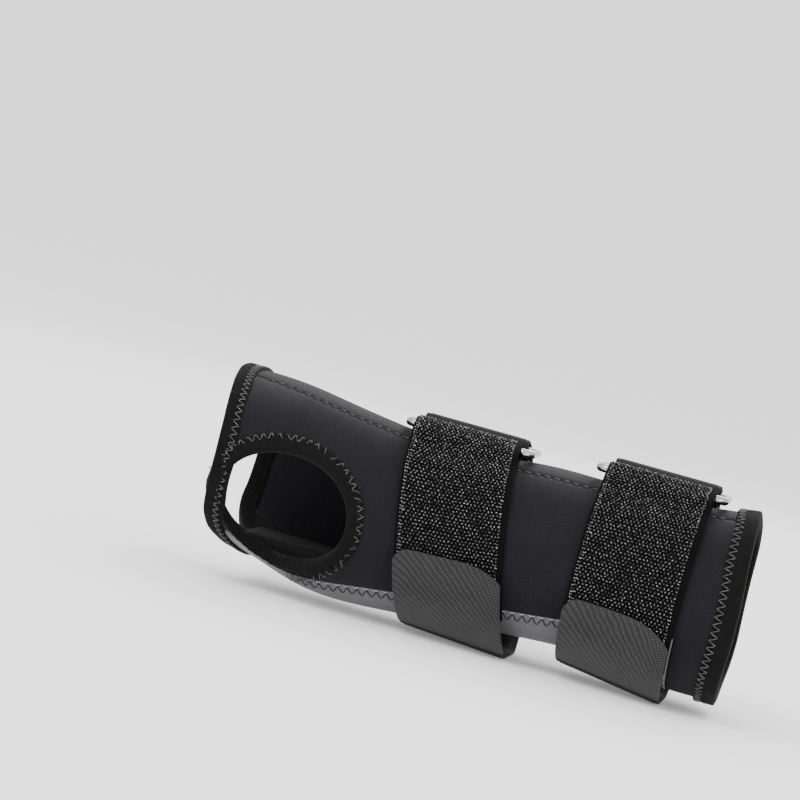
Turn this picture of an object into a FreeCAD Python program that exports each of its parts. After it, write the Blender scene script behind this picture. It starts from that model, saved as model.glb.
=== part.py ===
import FreeCAD, Part
import math
import os

# Right-hand wrist splint, in millimetres.  +X runs from the hand towards the elbow, -Y is the thumb side
# and +Z is the back of the hand.  The splint lies palm side down on the undersides of its two straps.

V = FreeCAD.Vector
FAR = 120.0                 # beyond every side of the splint, for cutting zones

# ---- Sleeve -------------------------------------------------------------------------------------------
HAND_END = -94.0
FOREARM_END = 94.0
SLEEVE_WALL = 3.0
HEM_WIDTH = 7.0
BINDING_OVER = 0.9          # folded tape stands this proud of the panels, outside and inside
SQUARENESS = 2.2            # exponent of the sleeve's oval section; 2 is an ellipse
# Along the arm: lowest point, highest point, half width.
OUTLINE = [
    (-104.0, 14.5, 76.4, 38.2),
    (-80.0, 10.0, 74.4, 37.6),
    (-60.0, 4.4, 71.2, 36.0),
    (-40.0, 2.6, 66.8, 33.5),
    (-20.0, 4.2, 65.6, 31.2),
    (0.0, 5.9, 66.6, 30.2),
    (20.0, 7.6, 68.4, 30.0),
    (40.0, 8.6, 68.2, 30.4),
    (60.0, 6.8, 68.4, 31.2),
    (80.0, 4.4, 69.6, 32.6),
    (104.0, 3.6, 71.6, 34.0),
]
STATION_STEP = 8.0
SECTION_POINTS = 28

# The palm side of the hand end is cut back in a curve, so the fingers can close.
# Start, middle and end of that curve: distance behind the edge, and height.
PALM_RELIEF = [(0.0, 27.0), (3.9, 15.5), (14.0, 9.0)]
PALM_RELIEF_RUN_OUT = (26.6, -5.0)
PALM_RELIEF_LIFT = 0.4      # per millimetre of inset, at the curve's start and middle

# ---- Thumb hole ---------------------------------------------------------------------------------------
THUMB_CENTRE = (-63.8, 31.5)
THUMB_HALF_LENGTH = 21.8
THUMB_HALF_HEIGHT = 18.3
THUMB_TILT = -10.0
THUMB_BINDING = 5.0

# ---- Seams between the panels -------------------------------------------------------------------------
PALM_SEAM = [(-104.0, 24.0), (-54.0, 9.0), (79.0, 26.3)]
DORSAL_SEAM_THUMB_SIDE = -14.0
DORSAL_SEAM_FAR_SIDE = 16.0

# ---- Straps -------------------------------------------------------------------------------------------
TAPE_WIDTH = 38.0
TAPE = 1.3
PATCH = 0.9
PATCH_GAP = 0.3             # room for the sewn edge between the hook patch and the tab
CLEAR = 0.45
RING_WIRE = 3.0
RING_LENGTH = 47.0
RING_BARS_APART = 17.0
RING_CORNER = 2.6
RING_LIFT = 5.3             # bar centre above the sleeve
RING_HEIGHT = 70.0          # roughly, for how far along the arm the leaning strap meets its ring
RING_PLAY = 0.9
HINGE_GAP = 1.2
HINGE_RADIUS = 30.0         # of the loop under the palm, which turns that gap into an angle
HINGE_OVER = 0.2            # the peeling line lies this far outside the tape
HINGE_HEIGHT = 4.0          # roughly, for how far along the arm the leaning strap meets its hinge
TAB_FOOT_ANGLE = 241.0
TAB_TOP_ANGLE = 186.0
TAB_LAYER = 3.9             # middle of the tab tape, above the sleeve
LOOP_DIP = 1.2              # how much of the tail's lowest stretch is flattened by the table
LOOP_PRESS = 0.05           # the flattened stretch loses this much of its thickness
PATCH_INSET = 2.0           # the hook patch stops this far below the tab's rounded end
PATCH_OVERRUN = 10.0        # and this many degrees above its foot
TAB_STATIONS = 9
# Per strap: name, centre along the arm at mid height, lean (x per z), rounded end of the tab as
# heights at its hand-side edge, middle and forearm-side edge.
STRAPS = [
    ("wrist", -5.6, -0.19, (22.0, 30.0, 24.0)),
    ("forearm", 56.2, 0.0, (23.5, 28.5, 19.5)),
]
LEAN_HEIGHT = 36.0
# Routes of the tapes: angle round the sleeve, and the tape's middle above the sleeve.  A route round a
# ring bar is its radius, first angle, last angle and number of points.
FLAT = CLEAR + TAPE / 2
BAND_DOUBLED = FLAT + TAPE + 0.1
BAND_UP = [(angle, FLAT) for angle in range(226, 140, -7)]
BAND_UP += [(136, BAND_DOUBLED), (129, BAND_DOUBLED), (121, BAND_DOUBLED + 0.4), (114, BAND_DOUBLED + 1.9)]
BAND_ROUND_BAR = (RING_WIRE / 2 + 0.25 + TAPE / 2, 110, -95, 9)
BAND_BACK = [(114, FLAT + 0.35), (121, FLAT), (129, FLAT), (136, FLAT)]
TAIL_DOUBLED = FLAT + TAPE + 0.2
TAIL_UP = [(angle, FLAT) for angle in range(-14, 60, 8)] + [(65, FLAT + 0.5)]
TAIL_ROUND_BAR = (RING_WIRE / 2 + 0.3 + RING_PLAY + TAPE / 2, 275, 70, 9)
TAIL_DOWN = [(66, TAIL_DOUBLED + 2.9), (60, TAIL_DOUBLED + 1.2), (53, TAIL_DOUBLED + 0.2)]
TAIL_DOWN += [(angle, TAIL_DOUBLED) for angle in range(46, -52, -8)]
TAIL_UNDER = [(-58, 3.2), (-66, 3.5)]
TAIL_UNDER += [(angle, TAB_LAYER) for angle in (-74, -82, -90, -98, -106, -113, TAB_FOOT_ANGLE - 360)]

# ---- Palm stay and its pocket -------------------------------------------------------------------------
STAY_START = -78.0
STAY_END = 79.0
STAY_WIDTH = 20.0
STAY_THICK = 1.8
STAY_BOTTOM = 14.4
CAP_LENGTH = 12.0
CAP_WALL = 0.6
POCKET_START = -83.0
POCKET_END = 84.0
POCKET_HALF_WIDTH = 13.0
POCKET_ROOF = 17.3
POCKET_CLOTH = 1.2
POCKET_FREE = 0.4           # the thumb hole's binding keeps this clear of the pocket
SEWN_GAP = 0.05             # pad and pocket stop this short of the sleeve's inner face
POCKET_FROM_HEM = 22.0      # up to here the pocket also clears the hand end's binding
PAD_START = -82.0
PAD_END = -20.0
PAD_TOP = 13.2
PAD_GAP = 0.2


def outline(x):
    """Lowest point, highest point and half width of the sleeve at x, on a smooth curve through OUTLINE."""
    last = len(OUTLINE) - 2
    i = 0
    while i < last and x > OUTLINE[i + 1][0]:
        i += 1
    before = OUTLINE[max(i - 1, 0)]
    a = OUTLINE[i]
    b = OUTLINE[i + 1]
    after = OUTLINE[min(i + 2, last + 1)]
    step = b[0] - a[0]
    s = (x - a[0]) / step
    values = []
    for k in (1, 2, 3):
        slope_a = (b[k] - before[k]) / (b[0] - before[0]) * step
        slope_b = (after[k] - a[k]) / (after[0] - a[0]) * step
        rise = b[k] - a[k]
        values.append(a[k] + s * slope_a + s * s * (3 * rise - 2 * slope_a - slope_b)
                      + s ** 3 * (slope_a + slope_b - 2 * rise))
    return values


def oval(value):
    """Sine or cosine bent towards a squarer section."""
    return math.copysign(abs(value) ** (2.0 / SQUARENESS), value)


def skin_point(x, degrees, off):
    """A point off the sleeve's outer face by off; 0 degrees is +Y and 90 is the back of the hand."""
    low, high, half = outline(x)
    angle = math.radians(degrees)
    z = (low + high) / 2 + ((high - low) / 2 + off) * oval(math.sin(angle))
    return V(x, (half + off) * oval(math.cos(angle)), z)


def loop_point(x, degrees, off):
    """The same, but the lower half hangs down to the table, where it is pressed flat."""
    low, high, half = outline(x)
    angle = math.radians(degrees)
    if math.sin(angle) > 0:
        return skin_point(x, degrees, off)
    middle = (low + high) / 2
    inset = TAB_LAYER - off
    drop = middle - TAPE / 2 + LOOP_DIP - inset
    z = max(middle + drop * oval(math.sin(angle)), TAPE / 2 - LOOP_PRESS + inset)
    return V(x, (half + off) * oval(math.cos(angle)), z)


def tube(off):
    """A solid filled sleeve shape, off the outer face by off."""
    wires = []
    count = int(round((OUTLINE[-1][0] - OUTLINE[0][0]) / STATION_STEP))
    for i in range(count + 1):
        x = OUTLINE[0][0] + i * STATION_STEP
        points = [skin_point(x, 360.0 * k / SECTION_POINTS, off) for k in range(SECTION_POINTS)]
        curve = Part.BSplineCurve()
        curve.interpolate(Points=points, PeriodicFlag=True)
        wires.append(Part.Wire([curve.toShape()]))
    return Part.makeLoft(wires, True, False)


def prism_along_y(face, y_from, y_to):
    face.translate(V(0, y_from, 0))
    return face.extrude(V(0, y_to - y_from, 0))


def polygon_prism(corners, y_from, y_to):
    """A prism along Y on a polygon of x, z corners."""
    points = [V(x, 0, z) for x, z in corners]
    return prism_along_y(Part.Face(Part.makePolygon(points + [points[0]])), y_from, y_to)


def box(x0, x1, y0, y1, z0, z1):
    return Part.makeBox(x1 - x0, y1 - y0, z1 - z0, V(x0, y0, z0))


def arm_side_of(x):
    """Everything on the forearm side of x."""
    return box(x, FAR, -FAR, FAR, -FAR, FAR)


def hand_side_of(x):
    """Everything on the hand side of x."""
    return box(-FAR, x, -FAR, FAR, -FAR, FAR)


def hand_end_zone(inset):
    """Everything on the arm side of the hand end's edge, moved in by inset."""
    x = HAND_END + inset
    lifts = (PALM_RELIEF_LIFT * inset, PALM_RELIEF_LIFT * inset, 0)
    curve = [V(x + run, 0, z + lift) for (run, z), lift in zip(PALM_RELIEF, lifts)]
    run, low = PALM_RELIEF_RUN_OUT
    corners = [curve[2], V(x + run, 0, low), V(FAR, 0, low), V(FAR, 0, FAR), V(x, 0, FAR), curve[0]]
    edges = [Part.Arc(*curve).toShape()] + [Part.makeLine(a, b) for a, b in zip(corners, corners[1:])]
    return prism_along_y(Part.Face(Part.Wire(edges)), -FAR, FAR)


def thumb_zone(grow):
    """The thumb hole's oval, grown by grow, as a prism through the thumb side, clear of the stay pocket."""
    ellipse = Part.Ellipse(V(0, 0, 0), THUMB_HALF_LENGTH + grow, THUMB_HALF_HEIGHT + grow)
    face = Part.Face(Part.Wire([ellipse.toShape()]))
    face.rotate(V(0, 0, 0), V(1, 0, 0), 90)
    face.rotate(V(0, 0, 0), V(0, 1, 0), -THUMB_TILT)
    face.translate(V(THUMB_CENTRE[0], 0, THUMB_CENTRE[1]))
    return prism_along_y(face, -FAR, -POCKET_HALF_WIDTH - POCKET_CLOTH - POCKET_FREE)


def sleeve():
    """The panels, the three bindings, and the pad and pocket inside the palm."""
    outer = tube(0)
    inner = tube(-SLEEVE_WALL)
    wall = outer.cut(inner)
    thick_wall = tube(BINDING_OVER).cut(tube(-SLEEVE_WALL - BINDING_OVER))

    edge_zone = hand_end_zone(0).common(hand_side_of(FOREARM_END))
    panel_zone = hand_end_zone(HEM_WIDTH).common(hand_side_of(FOREARM_END - HEM_WIDTH))
    hole = thumb_zone(0)
    hole_and_binding = thumb_zone(THUMB_BINDING)

    hems = thick_wall.common(edge_zone).cut(panel_zone)
    finger_hem = hems.common(hand_side_of(0)).cut(hole_and_binding)
    forearm_hem = hems.common(arm_side_of(0))
    binding = thick_wall.common(hole_and_binding).cut(hole)

    panels = wall.common(panel_zone).cut(hole_and_binding)
    low = OUTLINE[0][1] - FAR
    palm_zone = polygon_prism([(PALM_SEAM[0][0], low)] + PALM_SEAM + [(PALM_SEAM[-1][0], low)], -FAR, FAR)
    dorsal_zone = box(-FAR, FAR, DORSAL_SEAM_THUMB_SIDE, DORSAL_SEAM_FAR_SIDE, LEAN_HEIGHT, FAR)
    sides = panels.cut(palm_zone).cut(dorsal_zone)
    return {
        "palm_panel": panels.common(palm_zone),
        "dorsal_panel": panels.common(dorsal_zone),
        "thumb_side_panel": sides.common(box(-FAR, FAR, -FAR, 0, -FAR, FAR)),
        "little_finger_side_panel": sides.common(box(-FAR, FAR, 0, FAR, -FAR, FAR)),
        "hand_end_binding": finger_hem,
        "forearm_end_binding": forearm_hem,
        "thumb_hole_binding": binding,
    }


def pocket():
    """The palm pad and the cloth channel that holds the stay, both sewn to the palm panel's inner face."""
    hem_end = HAND_END + POCKET_FROM_HEM
    beside_hem = tube(-SLEEVE_WALL - BINDING_OVER - SEWN_GAP).common(hand_side_of(hem_end))
    beyond_hem = tube(-SLEEVE_WALL - SEWN_GAP).common(arm_side_of(hem_end))
    room = beside_hem.fuse(beyond_hem)
    half = POCKET_HALF_WIDTH
    outer_half = half + POCKET_CLOTH
    channel = box(POCKET_START, POCKET_END, -outer_half, outer_half, 0, POCKET_ROOF + POCKET_CLOTH)
    hollow = box(POCKET_START + POCKET_CLOTH, FAR, -half, half, -1, POCKET_ROOF)
    pad = box(PAD_START + POCKET_CLOTH, PAD_END, -half + PAD_GAP, half - PAD_GAP, 0, PAD_TOP)
    return {
        "stay_pocket": channel.cut(hollow).common(room),
        "palm_pad": pad.common(room),
    }


def stay():
    """The flat aluminium stay and its two moulded end caps."""
    def rounded_bar(x0, x1, width, z0, z1):
        """A flat bar with half-round ends."""
        radius = width / 2
        bar = box(x0 + radius, x1 - radius, -radius, radius, z0, z1)
        for x in (x0 + radius, x1 - radius):
            bar = bar.fuse(Part.makeCylinder(radius, z1 - z0, V(x, 0, z0)))
        return bar.removeSplitter()

    top = STAY_BOTTOM + STAY_THICK
    blade = rounded_bar(STAY_START, STAY_END, STAY_WIDTH, STAY_BOTTOM, top)
    cover = rounded_bar(STAY_START - CAP_WALL, STAY_END + CAP_WALL, STAY_WIDTH + 2 * CAP_WALL,
                        STAY_BOTTOM - CAP_WALL, top + CAP_WALL).cut(blade)
    return {
        "stay_blade": blade,
        "stay_cap_hand_end": cover.common(hand_side_of(STAY_START + CAP_LENGTH)),
        "stay_cap_forearm_end": cover.common(arm_side_of(STAY_END - CAP_LENGTH)),
    }


class Strap:
    """One strap: a hook-faced band up the thumb side, a wire ring, and a tail that ends in a tab."""

    def __init__(self, centre, lean, tab_heights):
        self.centre = centre
        self.lean = lean
        self.tab_heights = tab_heights
        self.tab_foot = TAB_FOOT_ANGLE - math.degrees(HINGE_GAP / HINGE_RADIUS)
        top_x = self.centre_at(RING_HEIGHT)
        half = RING_BARS_APART / 2
        low, high, width = outline(top_x)
        drop = (high - low) / 2 * (1 - (1 - (half / width) ** SQUARENESS) ** (1 / SQUARENESS))
        self.ring_centre = V(top_x, 0, high - drop + RING_LIFT)

    def centre_at(self, z):
        return self.centre + self.lean * (z - LEAN_HEIGHT)

    def tape(self, steps, thickness):
        """A flat tape: each step is a function of x that gives a point of the tape's middle line.

        Both long edges lie in a plane, leaning with the strap, and a ruled loft joins them.
        """
        outlines = []
        for side in (-1, 1):
            points = []
            for step in steps:
                z = step(self.centre).z
                points.append(step(self.centre_at(z) + side * TAPE_WIDTH / 2))
            faces = ([], [])
            last = len(points) - 1
            for i, point in enumerate(points):
                along = points[min(i + 1, last)] - points[max(i - 1, 0)]
                across = V(0, -along.z, along.y)
                across.multiply(thickness / 2 / across.Length)
                for face, corner in zip(faces, (point - across, point + across)):
                    corner.x = self.centre_at(corner.z) + side * TAPE_WIDTH / 2
                    face.append(corner)
            loop = faces[0] + faces[1][::-1]
            outlines.append(Part.makePolygon(loop + [loop[0]]))
        return Part.makeLoft(outlines, True, True)

    def around_bar(self, side, route):
        """Steps round one ring bar; side is -1 for the thumb-side bar and 1 for the far one."""
        radius, start, stop, count = route
        y = side * RING_BARS_APART / 2
        z = self.ring_centre.z
        steps = []
        for i in range(count):
            angle = math.radians(start + (stop - start) * i / (count - 1))
            steps.append(lambda x, a=angle: V(x, y + radius * math.cos(a), z + radius * math.sin(a)))
        return steps

    @staticmethod
    def along_skin(point, stations):
        """Steps that follow point, a function of x, angle and offset, through (angle, offset) stations."""
        return [lambda x, a=angle, o=off: point(x, a, o) for angle, off in stations]

    def band(self):
        """From its sewn lower end up to the thumb-side bar, over the bar, and back underneath itself."""
        steps = self.along_skin(skin_point, BAND_UP)
        steps += self.around_bar(-1, BAND_ROUND_BAR)
        steps += self.along_skin(skin_point, BAND_BACK)
        return self.tape(steps, TAPE)

    def tail(self):
        """From its sewn end up to the far bar, through the ring, over the bar, down and under to the tab.

        The table presses its lowest stretch to a true flat.
        """
        steps = self.along_skin(skin_point, TAIL_UP)
        steps += self.around_bar(1, TAIL_ROUND_BAR)
        steps += self.along_skin(loop_point, TAIL_DOWN + TAIL_UNDER)
        return self.tape(steps, TAPE).cut(box(-FAR, FAR, -FAR, FAR, -FAR, 0))

    def rounded_end(self, inset):
        """A prism that keeps what lies below the tab's rounded end."""
        low, middle, high = self.tab_heights
        x0 = self.centre_at(low) - TAPE_WIDTH / 2 - 1
        x1 = self.centre_at(high) + TAPE_WIDTH / 2 + 1
        curve = [V(x0, 0, low - inset), V((x0 + x1) / 2, 0, middle - inset), V(x1, 0, high - inset)]
        corners = [curve[2], V(FAR, 0, -FAR), V(-FAR, 0, -FAR), curve[0]]
        edges = [Part.Arc(*curve).toShape()] + [Part.makeLine(a, b) for a, b in zip(corners, corners[1:])]
        return prism_along_y(Part.Face(Part.Wire(edges)), -FAR, 0)

    def tab_layer(self, off, foot, thickness, inset):
        """One layer of the tab, from its foot up to the rounded end."""
        step = (TAB_TOP_ANGLE - foot) / (TAB_STATIONS - 1)
        stations = [(foot + i * step, off) for i in range(TAB_STATIONS)]
        return self.tape(self.along_skin(loop_point, stations), thickness).common(self.rounded_end(inset))

    def tab(self):
        """The tab's backing tape and the hook patch sewn to its inner face."""
        patch_layer = TAB_LAYER - TAPE / 2 - PATCH_GAP - PATCH / 2
        backing = self.tab_layer(TAB_LAYER, self.tab_foot, TAPE, 0)
        patch = self.tab_layer(patch_layer, self.tab_foot - PATCH_OVERRUN, PATCH, PATCH_INSET)
        return backing, patch

    def hinge(self):
        """Where the tab folds away from the band: just outside the tape, between tail and tab."""
        angle = (TAB_FOOT_ANGLE + self.tab_foot) / 2
        return loop_point(self.centre_at(HINGE_HEIGHT), angle, TAB_LAYER + TAPE / 2 + HINGE_OVER)

    def ring(self):
        """A rectangle of round wire with rounded corners: four quarter arcs and the lines between them."""
        half_x = RING_LENGTH / 2 - RING_WIRE / 2
        half_y = RING_BARS_APART / 2
        bow = RING_CORNER * (1 - math.sqrt(0.5))
        arcs = []
        for sx, sy in ((1, 1), (-1, 1), (-1, -1), (1, -1)):
            on_side = V(sx * half_x, sy * (half_y - RING_CORNER), 0)
            middle = V(sx * (half_x - bow), sy * (half_y - bow), 0)
            on_bar = V(sx * (half_x - RING_CORNER), sy * half_y, 0)
            arcs.append((on_side, middle, on_bar) if sx * sy > 0 else (on_bar, middle, on_side))
        edges = []
        for arc, following in zip(arcs, arcs[1:] + arcs[:1]):
            edges.append(Part.makeLine(arc[2], following[0]))
            edges.append(Part.Arc(*following).toShape())
        section = Part.Wire([Part.makeCircle(RING_WIRE / 2, arcs[0][2], V(1, 0, 0))])
        wire = Part.Wire(edges).makePipeShell([section], True, False)
        wire.translate(self.ring_centre)
        return wire


def build():
    """Every piece, by node name, and the joint places."""
    pieces = {}
    pieces.update(sleeve())
    pieces.update(pocket())
    pieces.update(stay())
    places = {}
    for name, centre, lean, tab_heights in STRAPS:
        strap = Strap(centre, lean, tab_heights)
        backing, patch = strap.tab()
        pieces[name + "_strap_band"] = strap.band()
        pieces[name + "_strap_ring"] = strap.ring()
        pieces[name + "_strap_tail"] = strap.tail()
        pieces[name + "_strap_tab"] = backing
        pieces[name + "_strap_tab_hooks"] = patch
        places[name + " tab hinge"] = strap.hinge()
        places[name + " ring bar"] = strap.ring_centre - V(0, RING_BARS_APART / 2, 0)
    return pieces, places


def main():
    os.makedirs("parts", exist_ok=True)
    pieces, places = build()
    for name, shape in sorted(pieces.items()):
        solids = shape.Solids
        out = solids[0] if len(solids) == 1 else Part.makeCompound(solids)
        print(f"{name:26s} solids {len(solids)} valid {out.isValid()} volume {out.Volume:9.1f}")
        out.exportStep(f"parts/{name}.step")
    for name, place in places.items():
        print(name, [round(c, 3) for c in place])


main()
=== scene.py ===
import math
import bpy
import mathutils
import numpy as np
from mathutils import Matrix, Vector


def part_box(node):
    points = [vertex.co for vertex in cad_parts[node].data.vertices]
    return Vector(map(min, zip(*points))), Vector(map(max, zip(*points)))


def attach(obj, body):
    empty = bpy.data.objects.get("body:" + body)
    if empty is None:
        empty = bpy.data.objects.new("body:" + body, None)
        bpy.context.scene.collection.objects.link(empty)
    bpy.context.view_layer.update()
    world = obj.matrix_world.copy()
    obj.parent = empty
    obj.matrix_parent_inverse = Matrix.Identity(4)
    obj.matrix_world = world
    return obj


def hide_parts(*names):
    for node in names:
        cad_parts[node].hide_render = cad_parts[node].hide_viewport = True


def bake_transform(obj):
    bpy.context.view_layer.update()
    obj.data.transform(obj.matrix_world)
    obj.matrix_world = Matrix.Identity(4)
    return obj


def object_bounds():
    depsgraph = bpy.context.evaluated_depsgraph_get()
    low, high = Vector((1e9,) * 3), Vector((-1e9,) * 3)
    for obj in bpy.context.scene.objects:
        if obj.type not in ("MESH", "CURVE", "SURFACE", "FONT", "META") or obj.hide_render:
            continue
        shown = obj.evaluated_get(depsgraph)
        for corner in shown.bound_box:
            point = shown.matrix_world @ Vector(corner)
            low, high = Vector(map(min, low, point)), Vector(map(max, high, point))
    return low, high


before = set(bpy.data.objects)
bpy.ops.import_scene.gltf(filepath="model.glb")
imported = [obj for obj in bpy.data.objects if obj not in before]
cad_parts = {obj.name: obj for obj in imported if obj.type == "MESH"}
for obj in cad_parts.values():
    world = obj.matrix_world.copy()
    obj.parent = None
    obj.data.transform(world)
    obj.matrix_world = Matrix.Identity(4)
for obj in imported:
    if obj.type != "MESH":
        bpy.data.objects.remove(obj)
cad_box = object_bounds()


# ---- Thumb-side panel ---------------------------------------------------------------------------------
# A 3 mm foam sheet faced with fine black knit, cut with the thumb hole in it.
# It is butted and flatlocked to the dorsal panel above and to the grey palm panel below.
MM = 0.001
WALL = 3.0
SQUARENESS = 2.2
HAND_END = -94.0
FOREARM_END = 94.0
PALM_END = 75.5
EDGE_INSET = 3.0
STRAIGHT_FROM = -60.0
OUTLINE = np.array([
    # along the arm, lowest, highest, half width
    (-104.0, 14.5, 74.0, 38.2),
    (-80.0, 10.0, 73.2, 37.6),
    (-60.0, 4.4, 71.0, 36.0),
    (-40.0, 2.6, 68.2, 33.5),
    (-20.0, 4.2, 66.3, 31.2),
    (0.0, 5.9, 66.6, 30.2),
    (20.0, 7.6, 68.4, 30.0),
    (40.0, 8.6, 68.2, 30.4),
    (60.0, 6.8, 68.4, 31.2),
    (80.0, 5.0, 70.2, 32.6),
    (104.0, 6.2, 72.8, 34.0),
])
THUMB_CENTRE = (-63.8, 31.5)
THUMB_HALF = (22.6, 19.0)
THUMB_TILT = math.radians(-10.0)
SEAM_SINK = 0.45
SEAM_SPREAD = 1.6


def spline_bends(stations, values):
    """Second derivatives of the natural cubic spline through the values: continuous slope and bend."""
    step = np.diff(stations)
    count = len(stations)
    matrix = np.eye(count)
    right = np.zeros((count, values.shape[1]))
    for i in range(1, count - 1):
        matrix[i, i - 1:i + 2] = step[i - 1], 2 * (step[i - 1] + step[i]), step[i]
        right[i] = 6 * ((values[i + 1] - values[i]) / step[i] - (values[i] - values[i - 1]) / step[i - 1])
    return np.linalg.solve(matrix, right)


OUTLINE_BENDS = spline_bends(OUTLINE[:, 0], OUTLINE[:, 1:])


def outline(x):
    """Lowest point, highest point and half width at x, on the natural cubic spline through OUTLINE."""
    x = np.asarray(x, float)
    i = np.clip(np.searchsorted(OUTLINE[:, 0], x) - 1, 0, len(OUTLINE) - 2)
    step = OUTLINE[i + 1, 0] - OUTLINE[i, 0]
    b = ((x - OUTLINE[i, 0]) / step)[..., None]
    a = 1 - b
    curve = a * OUTLINE[i, 1:] + b * OUTLINE[i + 1, 1:]
    bend = (a ** 3 - a) * OUTLINE_BENDS[i] + (b ** 3 - b) * OUTLINE_BENDS[i + 1]
    curve = curve + bend * (step ** 2)[..., None] / 6
    return curve[..., 0], curve[..., 1], curve[..., 2]


def oval(value):
    """Sine or cosine raised to 2 / SQUARENESS with its sign kept, which squares the section a little."""
    return np.sign(value) * np.abs(value) ** (2 / SQUARENESS)


def skin(x, angle, off=0.0):
    """A point off the sleeve's outer face: half width times oval cosine, half height times oval sine.

    The angle is in radians from +Y towards the back of the hand.  Soft dents, up to half a millimetre
    deep, are a product of slow sines along and round the sleeve.
    """
    x, angle, off = np.broadcast_arrays(np.asarray(x, float), angle, off)
    low, high, half = outline(x)
    dent = 0.25 * (1 + np.sin(x / 9.0 + 1.4 * np.sin(2 * angle)) * np.sin(3 * angle + x / 23.0 + 0.7))
    reach = off - dent
    y = (half + reach) * oval(np.cos(angle))
    z = (low + high) / 2 + ((high - low) / 2 + reach) * oval(np.sin(angle))
    return np.stack([x, y, z], -1)


def angle_at_height(x, z, side):
    """The angle where the section at x reaches height z, on the thumb side (-1) or the far side (1)."""
    low, high, half = outline(x)
    level = np.clip((z - (low + high) / 2) / ((high - low) / 2), -1, 1)
    up = np.arcsin(np.sign(level) * np.abs(level) ** (SQUARENESS / 2))
    return np.where(side < 0, np.pi - up, up)


def angle_at_width(x, y):
    """The angle on the back of the hand where the section at x reaches y."""
    half = outline(x)[2]
    return np.arccos(np.sign(y) * np.abs(y / half) ** (SQUARENESS / 2))


def palm_seam_height(x):
    """Two straight lines that meet near x = -54, rounded into each other as a hyperbola."""
    run = x + 54.0
    return 9.0 - 0.085 * run + 0.215 * (np.sqrt(run * run + 16.0) - 4.0)


THUMB_SIDE_IN = 3.0
BACK_OUT = 3.2
PALM_CUT = 14.0
FOREARM_THUMB_SIDE_OUT = 2.8


def hand_edge(angle):
    """x of the hand end's edge, cut back by a power curve under the palm.

    It leans: a power of minus the cosine draws the thumb side in, and the sine squared lets the back out.
    """
    thumb_side = np.clip(-np.cos(angle), 0, 1) ** 1.5
    back = np.clip(np.sin(angle), 0, 1) ** 2
    straight = HAND_END + THUMB_SIDE_IN * thumb_side - BACK_OUT * back
    x = straight + np.zeros(np.shape(angle))
    for _ in range(12):
        z = skin(x, angle)[..., 2]
        x = 0.5 * x + 0.5 * (straight + PALM_CUT * np.clip((27.0 - z) / 18.0, 0, 1.1) ** 2.6)
    return x


def forearm_edge(angle):
    """x of the forearm end's edge, let out on the thumb side by a power of minus the cosine."""
    thumb_side = np.clip(-np.cos(angle), 0, 1) ** 1.4
    return FOREARM_END + FOREARM_THUMB_SIDE_OUT * thumb_side - 0.7 * np.sin(angle) - 2.0


def to_edges(x, angle):
    """Stretches a grid that ends EDGE_INSET inside straight ends to as far inside the leaning edges."""
    start = hand_edge(angle) + EDGE_INSET
    stop = forearm_edge(angle) - EDGE_INSET
    hand_span = STRAIGHT_FROM - EDGE_INSET - HAND_END
    near_hand = (x - HAND_END - EDGE_INSET) * (STRAIGHT_FROM - start) / hand_span
    near_elbow = (x - PALM_END) * (stop - PALM_END) / (FOREARM_END - EDGE_INSET - PALM_END)
    return np.where(x < STRAIGHT_FROM, start + near_hand, np.where(x > PALM_END, PALM_END + near_elbow, x))


def hole_point(turn, out, off=0.0):
    """A point beside the thumb hole: its tilted oval, grown by out in the side view, laid on the skin."""
    a = THUMB_HALF[0] + out
    c = THUMB_HALF[1] + out
    along = a * np.cos(turn)
    up = c * np.sin(turn)
    x = THUMB_CENTRE[0] + along * math.cos(THUMB_TILT) - up * math.sin(THUMB_TILT)
    z = THUMB_CENTRE[1] + along * math.sin(THUMB_TILT) + up * math.cos(THUMB_TILT)
    return skin(x, angle_at_height(x, z, -1), off)


def clear_of_hole(x, angle):
    """Moves grid points inside the thumb hole out to its edge, and says which were inside."""
    points = skin(x, angle)
    dx = points[..., 0] - THUMB_CENTRE[0]
    dz = points[..., 2] - THUMB_CENTRE[1]
    along = (dx * math.cos(THUMB_TILT) + dz * math.sin(THUMB_TILT)) / (THUMB_HALF[0] + 0.6)
    up = (-dx * math.sin(THUMB_TILT) + dz * math.cos(THUMB_TILT)) / (THUMB_HALF[1] + 0.6)
    radius = np.hypot(along, up)
    inside = (radius < 1) & (points[..., 1] < 0)
    grow = np.where(inside, 1 / np.maximum(radius, 1e-3), 1.0)
    new_x = THUMB_CENTRE[0] + dx * grow
    new_z = THUMB_CENTRE[1] + dz * grow
    new_angle = np.where(inside, angle_at_height(new_x, new_z, -1), angle)
    return np.where(inside, new_x, x), new_angle, inside


def running_length(points, axis=0):
    """The distance along rows of points, from 0 at the first."""
    gaps = np.linalg.norm(np.diff(points, axis=axis), axis=-1)
    start = np.zeros_like(np.take(gaps, [0], axis))
    return np.concatenate([start, np.cumsum(gaps, axis)], axis)


def mesh_object(name, points, faces):
    """A smooth mesh in the scene, from points in millimetres, with an empty UV map for its cloth."""
    mesh = bpy.data.meshes.new(name)
    mesh.from_pydata((points * MM).tolist(), [], faces.tolist())
    mesh.shade_smooth()
    mesh.uv_layers.new(name="cloth")
    piece = bpy.data.objects.new(name, mesh)
    bpy.context.scene.collection.objects.link(piece)
    return piece


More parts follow.
